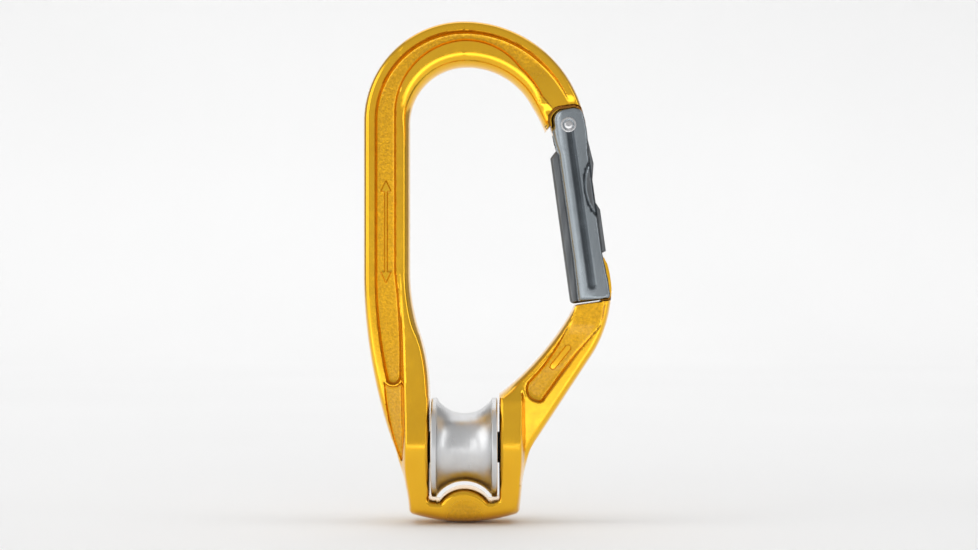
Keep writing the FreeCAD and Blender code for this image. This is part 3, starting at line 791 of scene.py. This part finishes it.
def gate_cheeks():
    return [
        (GATE_LEFT - 0.3, GATE_BOTTOM + 1.2, 1.3),
        (GATE_LEFT + 1, GATE_BOTTOM, 0),
        (GATE_RIGHT - 0.5, GATE_BOTTOM, 1.3),
        (GATE_RIGHT + 0.6, GATE_BOTTOM + 1.4, 0),
        (GATE_RIGHT + 0.6, GATE_BOTTOM + 4.5, 0),
        (GATE_RIGHT, GATE_BOTTOM + 12, 0),
        (GATE_RIGHT, WEB_TOP, 30),
        (GATE_RIGHT + 0.3, GATE_TOP - 3.2, 3.2),
        (GATE_RIGHT - 2.6, GATE_TOP, 0),
        (GATE_LEFT + 2.4, GATE_TOP, 3.2),
        (GATE_LEFT - 0.6, GATE_TOP - 3.2, 30),
        (GATE_LEFT, WEB_TOP, 0),
        (GATE_LEFT, GATE_BOTTOM + 12, 0),
    ]


def gate_web():
    thumb_w = THUMB[1]
    return [
        (WEB_LEFT - 0.1, GATE_BOTTOM + 1.1, 1.1),
        (WEB_LEFT + 1, GATE_BOTTOM, 0),
        (BULB[0], GATE_BOTTOM, 0),
        (BULB[0], BULB[1] + 4, 0),
        (WEB_RIGHT, BULB[1] + 5.2, 0),
        (WEB_RIGHT, thumb_w - 5.5, 0),
        (GATE_RIGHT + 0.25, thumb_w - 3.5, 0),
        (GATE_RIGHT + 0.25, thumb_w + 2.6, 0),
        (WEB_RIGHT, thumb_w + 6.8, 0),
        (GATE_RIGHT + 0.4, WEB_TOP + 4.1, 0),
        (0, WEB_TOP + 4.1, 0),
        (-2.5, WEB_TOP + 2.6, 0),
        (WEB_LEFT + 0.5, WEB_TOP, 0),
        (WEB_LEFT, WEB_TOP - 0.6, 0),
    ]


def hinge_slot():
    return [
        (GATE_SLOT_RADIUS, 0, 0),
        (GATE_SLOT_RADIUS, 12, 0),
        (-12, 12, 0),
        (-12, WEB_TOP + 0.1, 0),
        (WEB_LEFT, WEB_TOP + 0.1, 0),
        (*polar((0, 0), GATE_SLOT_RADIUS, 236), GATE_SLOT_RADIUS),
    ]


def nose_slot():
    mouth = BULB_RADIUS + BULB_GAP
    return [
        (BULB[0] - BULB_GAP, GATE_BOTTOM - 2, 0),
        (12, GATE_BOTTOM - 2, 0),
        (12, BULB[1] + BULB_RADIUS + 2.2, 0),
        (5.3, BULB[1] + BULB_RADIUS + 1.7, 0),
        (*polar(BULB, mouth, 90), mouth),
        (*polar(BULB, mouth, 180), mouth),
        (*polar(BULB, mouth, 264), 0),
    ]


def make_gate():
    """The gate's relief in its own plane, then its slots, then its lean and place."""
    cheeks = trace(gate_cheeks(), 0.4)
    web = trace(gate_web(), 0.4)
    walls = [
        loop[~inside(loop, other) | (nearest(loop, other)[0] < 0.02)]
        for loop, other in ((cheeks, web), (web, cheeks))
    ]
    edge = np.concatenate(walls)
    flute = np.array([(FLUTE_LINE, 0.0), (FLUTE_LINE, FLUTE_END)])

    def height(plan):
        u = plan[:, 0]
        tree = kdtree.KDTree(len(edge))
        for i, (x, z) in enumerate(edge):
            tree.insert((x, z, 0), i)
        tree.balance()
        depth = np.array([tree.find((x, z, 0))[2] for x, z in plan])
        low = GATE_WEB_HALF * shoulder(depth, 0.7, 2.2)
        cheek = depth_in(plan, cheeks)
        crowned = GATE_HALF - 0.85 * ((u - 0.9) / 4.2) ** 2
        edge_width = np.interp(u, (-2.5, 2.0), (1.5, 0.75))
        high = crowned * shoulder(cheek, edge_width, 2.1, 0.62)
        thumb = THUMB_RADIUS - np.hypot(u - THUMB[0], plan[:, 1] - THUMB[1])
        share = recess(thumb, 0.7)
        high = high + (np.minimum(high, GATE_WEB_HALF) - high) * share
        channel = nearest(plan, flute, closed=False)[0]
        high = high - FLUTE_DEPTH * smooth((FLUTE_HALF - channel) / 1.1) * (cheek > 0)
        # Painted shade: the flute is darkened in colour, and so are the cheek's lower right edge
        # and the brow of the thumb scallop.
        painted_shade = 0.85 * smooth((FLUTE_HALF - channel) / 0.5) * (plan[:, 1] < -1)
        right_edge = line_at(cheek, -0.12, 0.3) * (u > 2) * (plan[:, 1] < WEB_TOP + 3)
        brow = line_at(thumb, -0.3, 0.12) * (cheek > 0)
        painted_shade = np.maximum(painted_shade, 1.5 * np.maximum(right_edge, brow))
        return np.maximum(low, high), np.where(low >= high, 1.0, 0.0), painted_shade

    depths = (0, 0.04, 0.1, 0.18, 0.3, 0.46, 0.68, 0.95, 1.3)
    thumb_ring = np.array([polar(THUMB, THUMB_RADIUS, a) for a in np.arange(145, 215, 1.7)])
    thumb_rows = [thumb_ring + (d, 0) for d in (-0.2, -0.08, 0.02, 0.12, 0.25, 0.4, 0.6, 0.8)]
    channel_gaps = (0.2, 0.4, 0.6, 0.8, 1.0, 1.2, 1.4)
    channel_rows = [
        (FLUTE_LINE + side * d, w)
        for w in np.arange(FLUTE_END, 0, 0.45)
        for side in (-1, 1)
        for d in channel_gaps
    ]
    channel_ends = [
        polar((FLUTE_LINE, FLUTE_END), d, a)
        for d in channel_gaps
        for a in np.arange(180, 361, 15)
    ]
    rows = [
        offset_rows(web, depths),
        offset_rows(cheeks, depths),
        *thumb_rows,
        np.array(channel_rows),
        np.array(channel_ends),
    ]
    held = [g[inside(g, cheeks) | inside(g, web)] for g in rows]
    piece = relief("gate_body", [cheeks, web], held, 0.6, height)
    cut(piece, [
        prism("hinge_slot", trace(hinge_slot(), 0.5), GATE_SLOT_HALF),
        prism("nose_slot", trace(nose_slot(), 0.5), GATE_SLOT_HALF),
    ])
    place = Matrix.Translation((HINGE[0] * MM, 0, HINGE[1] * MM))
    piece.data.transform(place @ Matrix.Rotation(-LEAN, 4, "Y"))
    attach(piece, "gate")
    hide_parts("gate")
    return piece


# ---------------------------------------------------------------- turned pieces


def make_gate_pin():
    """The gate's rivet: a raised rim, a ring groove and a low dome on each head."""
    half = [
        (5.66, 0),
        (5.66, 0.55, 0.2),
        (5.5, 1.12, 0.1),
        (5.02, 1.16, 0.03),
        (5.02, 1.42, 0.03),
        (5.5, 1.5, 0.1),
        (5.46, 1.98, 0.15),
        (5.2, 2.02, 0.05),
        (4.9, 2.02, 0),
        (4.9, 1.6, 0),
    ]
    right = rounded(half, 0.05)
    left = [(-y, r) for y, r in reversed(right)]
    piece = lathe("gate_rivet", left + right, "Y", 96)
    piece.data.transform(Matrix.Translation((HINGE[0] * MM, 0, HINGE[1] * MM)))
    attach(piece, "gate")
    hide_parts("gate_pin")
    return piece


def make_gate_spring():
    """The gate's coil spring, with room above it for the plunger's travel."""
    coil, wire, turns, around = 1.22, 0.25, 11, 12
    low, high = -26.7, -11.5
    steps = turns * 24
    verts = []
    for i in range(steps + 1):
        a = 2 * math.pi * turns * i / steps
        w = low + (high - low) * i / steps
        for k in range(around):
            b = 2 * math.pi * k / around
            reach = coil + wire * math.cos(b)
            verts.append((reach * math.cos(a), reach * math.sin(a), w + wire * math.sin(b)))
    faces = [
        (i * around + k, i * around + (k + 1) % around,
         (i + 1) * around + (k + 1) % around, (i + 1) * around + k)
        for i in range(steps)
        for k in range(around)
    ]
    faces += [tuple(range(around))[::-1], tuple(range(steps * around, (steps + 1) * around))]
    mesh = bpy.data.meshes.new("spring_coil")
    mesh.from_pydata([Vector(v) * MM for v in verts], [], faces)
    piece = add_piece("spring_coil", mesh)
    place = Matrix.Translation((HINGE[0] * MM, 0, HINGE[1] * MM))
    mesh.transform(place @ Matrix.Rotation(-LEAN, 4, "Y"))
    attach(piece, "gate")
    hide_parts("gate_spring")
    return piece


def make_sheave():
    """The rope wheel, with rounded flanges, a turned groove and stepped hub faces."""
    bore, shoulder_radius, step = 6.5, 5.9, 2.4
    mouth = 7.15
    wall = GROOVE_FLOOR + GROOVE_RADIUS - math.sqrt(GROOVE_RADIUS**2 - mouth**2)
    angle = math.asin(mouth / GROOVE_RADIUS)
    groove = [
        (GROOVE_RADIUS * math.sin(a), GROOVE_FLOOR + GROOVE_RADIUS * (1 - math.cos(a)))
        for a in np.linspace(angle, -angle, 49)[1:-1]
    ]
    right = rounded([
        (step, shoulder_radius),
        (step, bore, 0),
        (SHEAVE_HALF, bore, 0.3),
        (SHEAVE_HALF, 9.0, 0.2),
        (SHEAVE_HALF - 0.25, 9.3, 0.2),
        (SHEAVE_HALF - 0.25, 11.7, 0.2),
        (SHEAVE_HALF, 12.0, 0.2),
        (SHEAVE_HALF, FLANGE_RADIUS, 0.62),
        (mouth + 0.1, FLANGE_RADIUS, 0.55),
        (mouth, wall),
    ], 0.2, steps=7)
    left = [(-x, r) for x, r in reversed(right)]
    piece = lathe("sheave_wheel", right + groove + left, "X", 224)
    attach(piece, "sheave")
    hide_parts("sheave")
    return piece


def make_axle():
    """The riveted axle, with a shallow dimple in each flush head."""
    end = AXLE_SEAT + 1.0
    right = rounded([
        (end - 0.35, 0),
        (end - 0.32, 1.3, 0.2),
        (end, 1.9, 0.25),
        (end, AXLE_HEAD, 0.3),
        (AXLE_SEAT, AXLE_HEAD, 0.05),
        (AXLE_SEAT, 2.98, 0),
    ], 0.1)
    left = [(-x, r) for x, r in reversed(right)]
    piece = lathe("axle_rivet", left + right, "X", 128)
    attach(piece, "frame")
    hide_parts("sheave_axle")
    return piece


# ---------------------------------------------------------------- materials


class Nodes:
    """A short way to build a material's nodes."""

    def __init__(self, name):
        self.material = bpy.data.materials.new(name)
        self.material.use_nodes = True
        self.tree = self.material.node_tree
        self.shader = self.tree.nodes["Principled BSDF"]
        self.position = self.node("ShaderNodeTexCoord").outputs["Object"]

    def node(self, kind, **inputs):
        node = self.tree.nodes.new(kind)
        for name, value in inputs.items():
            self.put(node.inputs[name.replace("_", " ")], value)
        return node

    def put(self, socket, value):
        if isinstance(value, bpy.types.NodeSocket):
            self.tree.links.new(value, socket)
        else:
            socket.default_value = value

    def noise(self, scale, detail=3.0, roughness=0.55, stretch=(1, 1, 1)):
        place = self.node("ShaderNodeMapping", Vector=self.position, Scale=stretch)
        return self.node(
            "ShaderNodeTexNoise",
            Vector=place.outputs["Vector"],
            Scale=scale,
            Detail=detail,
            Roughness=roughness,
        ).outputs["Fac"]

    def mask(self, name):
        """How much of a floor, or of the painted shade in creases and gaps, a point has."""
        node = self.tree.nodes.new("ShaderNodeAttribute")
        node.attribute_name = name
        return node.outputs["Fac"]

    def ramp(self, value, stops):
        node = self.node("ShaderNodeValToRGB", Fac=value)
        ramp = node.color_ramp
        while len(ramp.elements) < len(stops):
            ramp.elements.new(0.5)
        for element, (at, colour) in zip(ramp.elements, stops):
            element.position = at
            element.color = (*colour, 1)
        return node.outputs["Color"]

    def span(self, value, low, high, from_low=0.0, from_high=1.0):
        node = self.node("ShaderNodeMapRange", Value=value)
        node.inputs["From Min"].default_value = from_low
        node.inputs["From Max"].default_value = from_high
        node.inputs["To Min"].default_value = low
        node.inputs["To Max"].default_value = high
        return node.outputs["Result"]

    def sum(self, a, b, operation="ADD"):
        node = self.tree.nodes.new("ShaderNodeMath")
        node.operation = operation
        self.put(node.inputs[0], a)
        self.put(node.inputs[1], b)
        return node.outputs[0]

    def mix(self, share, a, b):
        """A blend of two colours: only the numbers tell a Mix node's colour sockets apart."""
        colour_a, colour_b, colour_result = 6, 7, 2
        node = self.tree.nodes.new("ShaderNodeMix")
        node.data_type = "RGBA"
        self.put(node.inputs["Factor"], share)
        self.put(node.inputs[colour_a], a)
        self.put(node.inputs[colour_b], b)
        return node.outputs[colour_result]

    def bump(self, height, strength, distance, normal=None):
        node = self.node("ShaderNodeBump", Height=height, Distance=distance)
        self.put(node.inputs["Strength"], strength)
        if normal is not None:
            self.put(node.inputs["Normal"], normal)
        return node.outputs["Normal"]

    def finish(self, colour, metallic, roughness, normal=None, **fixed):
        self.put(self.shader.inputs["Base Color"], colour)
        self.shader.inputs["Metallic"].default_value = metallic
        self.put(self.shader.inputs["Roughness"], roughness)
        if normal is not None:
            self.put(self.shader.inputs["Normal"], normal)
        for name, value in fixed.items():
            self.shader.inputs[name.replace("_", " ")].default_value = value
        return self.material


def gold_material():
    """Gold anodised forging: polished rims, and grained floors where the dies leave a skin."""
    m = Nodes("gold_anodised")
    grain_mask = m.mask("floor")
    polished = m.ramp(m.noise(60, 4), [(0.3, (0.90, 0.47, 0.008)), (0.7, (0.96, 0.53, 0.014))])
    skin = m.ramp(m.noise(1500, 3), [(0.3, (0.64, 0.32, 0.006)), (0.7, (0.88, 0.47, 0.012))])
    face = m.mix(grain_mask, polished, skin)
    # Painted shade: a dark brown laid into the pocket walls, the valley by the right band and the
    # edges around the gate's top and the nose.
    shade = m.ramp(m.noise(200, 3), [(0.3, (0.23, 0.075, 0.003)), (0.7, (0.33, 0.12, 0.005))])
    colour = m.mix(m.span(m.mask("painted_shade"), 0, 0.9), face, shade)
    smooth_rough = m.span(m.noise(350, 4, 0.6), 0.15, 0.25, 0.3, 0.7)
    floor_rough = m.span(m.noise(1100, 2), 0.34, 0.48, 0.3, 0.7)
    roughness = m.sum(
        m.sum(smooth_rough, m.sum(1.0, grain_mask, "SUBTRACT"), "MULTIPLY"),
        m.sum(floor_rough, grain_mask, "MULTIPLY"),
    )
    waves = m.bump(m.noise(140, 2, 0.4), 0.08, 0.0004)
    grains = m.bump(m.noise(1500, 3, 0.6), m.span(grain_mask, 0.03, 0.7), 0.00022, waves)
    return m.finish(colour, 1.0, roughness, grains, Coat_Weight=0.55, Coat_Roughness=0.12)


def gate_material():
    """Dark grey anodised aluminium: linished cheeks, and a rougher, darker web."""
    m = Nodes("grey_anodised")
    web = m.mask("floor")
    cheek = m.ramp(m.noise(80, 4), [(0.3, (0.265, 0.295, 0.32)), (0.7, (0.325, 0.36, 0.385))])
    sawn = m.ramp(
        m.noise(700, 3, 0.6, (1, 1, 0.08)),
        [(0.3, (0.11, 0.118, 0.125)), (0.7, (0.215, 0.225, 0.235))],
    )
    # Painted shade: near-black laid into the flute and along the cheek's lower right edge and the
    # scallop's brow.
    dark = m.ramp(m.noise(300, 3), [(0.3, (0.028, 0.034, 0.04)), (0.7, (0.06, 0.07, 0.08))])
    colour = m.mix(m.mask("painted_shade"), m.mix(web, cheek, sawn), dark)
    fine = m.noise(420, 3, 0.6, (1, 1, 0.25))
    roughness = m.sum(m.span(fine, 0.2, 0.3, 0.3, 0.7), m.span(web, 0.0, 0.22))
    lines = m.bump(m.noise(900, 2, 0.5, (1, 1, 0.06)), m.span(web, 0.1, 0.4), 0.0001)
    return m.finish(colour, 1.0, roughness, lines)


def sheave_material():
    """Clear anodised aluminium with turning lines around the axle."""
    m = Nodes("sheave_aluminium")
    colour = m.ramp(m.noise(90, 4), [(0.3, (0.66, 0.665, 0.675)), (0.7, (0.78, 0.785, 0.79))])
    roughness = m.span(m.noise(500, 3, 0.6, (1, 0.2, 0.2)), 0.26, 0.40, 0.3, 0.7)
    lines = m.bump(m.noise(1500, 2, 0.5, (1, 0.015, 0.015)), 0.22, 0.00012)
    return m.finish(colour, 1.0, roughness, lines)


def metal_material(name, dark, light, low, high, stretch=(1, 1, 1)):
    m = Nodes(name)
    colour = m.ramp(m.noise(150, 4), [(0.3, dark), (0.7, light)])
    roughness = m.span(m.noise(600, 3, 0.6, stretch), low, high, 0.3, 0.7)
    marks = m.bump(m.noise(1400, 2, 0.5, stretch), 0.15, 0.0001)
    return m.finish(colour, 1.0, roughness, marks)


def plain_material(name, dark, light, low, high, scale):
    m = Nodes(name)
    colour = m.ramp(m.noise(scale, 4), [(0.3, dark), (0.7, light)])
    roughness = m.span(m.noise(scale * 3, 3), low, high, 0.3, 0.7)
    grain = m.bump(m.noise(scale * 6, 3, 0.6), 0.2, 0.0001)
    return m.finish(colour, 0.0, roughness, grain)


def paint(piece, material):
    piece.data.materials.clear()
    piece.data.materials.append(material)


def paint_node(name, material):
    """Gives a CAD node a material on its object's slots, leaving its mesh alone."""
    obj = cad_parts[name]
    if not obj.material_slots:
        obj.data.materials.append(material)
    for slot in obj.material_slots:
        slot.link = "OBJECT"
        slot.material = material


def paint_inner_nodes():
    steel = metal_material("ground_steel", (0.52, 0.53, 0.55), (0.66, 0.67, 0.69), 0.14, 0.26)
    brass = metal_material("plunger_brass", (0.58, 0.42, 0.17), (0.72, 0.55, 0.26), 0.22, 0.38)
    nylon = plain_material("cage_nylon", (0.66, 0.61, 0.48), (0.78, 0.74, 0.62), 0.42, 0.6, 300)
    rubber = plain_material("seal_rubber", (0.02, 0.02, 0.022), (0.05, 0.05, 0.052), 0.5, 0.7, 400)
    black = metal_material("black_steel", (0.02, 0.02, 0.021), (0.05, 0.05, 0.052), 0.4, 0.55)
    groups = {
        steel: ["bearing_spacer"],
        black: ["axle_washer_left", "axle_washer_right"],
        brass: ["spring_plunger"],
        nylon: [],
        rubber: [],
    }
    for side in ("left", "right"):
        groups[steel] += [f"{side}_{part}" for part in ("inner_ring", "outer_ring", "balls")]
        groups[nylon].append(f"{side}_cage")
        groups[rubber] += [f"{side}_inner_seal", f"{side}_outer_seal"]
    for material, names in groups.items():
        for name in names:
            paint_node(name, material)


# ---------------------------------------------------------------- stage, light and camera


def stage_material():
    m = Nodes("pale_floor")
    colour = m.ramp(m.noise(3, 2), [(0.3, (0.86, 0.86, 0.86)), (0.7, (0.885, 0.885, 0.885))])
    return m.finish(colour, 0.0, 0.8)


def make_stage():
    """A wide pale floor that narrows into a wall well behind the object."""
    floor_z = CAD_BOX[0][2] - 0.0002
    depth, bend, top = 0.9, 0.35, 1.6
    wide, narrow, steps = 4.0, 1.5, 16
    profile = [(-2.0, floor_z, wide), (0.4, floor_z, wide), (depth, floor_z, narrow)]
    for k in range(1, steps + 1):
        a = math.pi / 2 * k / steps
        profile.append((depth + bend * math.sin(a), floor_z + bend * (1 - math.cos(a)), narrow))
    profile.append((depth + bend, top, narrow))
    verts = [(side * width / 2, y, z) for y, z, width in profile for side in (-1, 1)]
    faces = [(2 * i, 2 * i + 1, 2 * i + 3, 2 * i + 2) for i in range(len(profile) - 1)]
    mesh = bpy.data.meshes.new("floor")
    mesh.from_pydata(verts, [], faces)
    mesh.shade_smooth()
    obj = bpy.data.objects.new("floor", mesh)
    bpy.context.collection.objects.link(obj)
    obj.data.materials.append(stage_material())


def softbox(name, place, target, size, radiance):
    """An area light with a given brightness as seen from the object."""
    data = bpy.data.lights.new(name, "AREA")
    data.shape = "RECTANGLE"
    data.size, data.size_y = size
    data.energy = radiance * math.pi * size[0] * size[1]
    obj = bpy.data.objects.new(name, data)
    bpy.context.collection.objects.link(obj)
    obj.location = place
    direction = Vector(target) - Vector(place)
    obj.rotation_euler = direction.to_track_quat("-Z", "Y").to_euler()
    obj.visible_camera = False
    return obj


def make_lights():
    """Soft boxes around and above the object, in a room that is paler on the camera's side."""
    middle = (0.006, 0, 0.046)
    softbox("left", (-1.3, -0.35, 0.4), middle, (0.8, 1.2), 1.35)
    softbox("left_front", (-0.85, -1.15, 0.35), middle, (0.32, 0.7), 1.7)
    softbox("right", (1.35, -0.3, 0.35), middle, (0.4, 1.1), 1.35)
    softbox("low", (0.02, -0.35, -0.012), (0.02, -0.35, 1), (0.9, 0.42), 1.2)
    softbox("overhead", (0.0, 0.8, 1.7), (0, 0.6, 0), (2.2, 0.9), 0.75)
    backdrop = softbox("backdrop", (0.0, 0.0, 1.9), (0, 1.2, 0.1), (2.4, 0.5), 4.3)
    backdrop.visible_glossy = False
    world = bpy.data.worlds.new("room")
    world.use_nodes = True
    nodes, links = world.node_tree.nodes, world.node_tree.links
    heading = nodes.new("ShaderNodeTexCoord")
    split = nodes.new("ShaderNodeSeparateXYZ")
    behind = nodes.new("ShaderNodeMapRange")
    behind.inputs["From Min"].default_value = -1
    shade = nodes.new("ShaderNodeValToRGB")
    shade.color_ramp.elements[0].color = (0.62, 0.62, 0.62, 1)
    shade.color_ramp.elements[1].color = (0.3, 0.3, 0.3, 1)
    links.new(heading.outputs["Generated"], split.inputs[0])
    links.new(split.outputs["Y"], behind.inputs["Value"])
    links.new(behind.outputs["Result"], shade.inputs["Fac"])
    links.new(shade.outputs["Color"], nodes["Background"].inputs["Color"])
    bpy.context.scene.world = world
    bpy.context.scene.view_settings.view_transform = "Standard"


def make_camera():
    """Square on and level with the middle."""
    view_height_mm, view_aspect, distance = 145.75, 978 / 550, 0.5
    data = bpy.data.cameras.new("camera")
    data.sensor_width = 36.0
    data.lens = data.sensor_width * distance / (view_height_mm * view_aspect * MM)
    data.clip_start = 0.01
    obj = bpy.data.objects.new("camera", data)
    bpy.context.collection.objects.link(obj)
    obj.location = (0.0065, -distance, 0.0456)
    obj.rotation_euler = (math.pi / 2, 0, 0)
    bpy.context.scene.camera = obj


# ---------------------------------------------------------------- the scene

paint(make_frame(), gold_material())
paint(make_gate(), gate_material())
STEEL = metal_material("turned_steel", (0.50, 0.50, 0.51), (0.64, 0.64, 0.65), 0.2, 0.34)
paint(make_gate_pin(), STEEL)
WIRE = metal_material("spring_wire", (0.42, 0.43, 0.45), (0.56, 0.57, 0.59), 0.22, 0.36)
paint(make_gate_spring(), WIRE)
paint(make_axle(), STEEL)
paint(make_sheave(), sheave_material())
paint_inner_nodes()
make_stage()
make_lights()
make_camera()
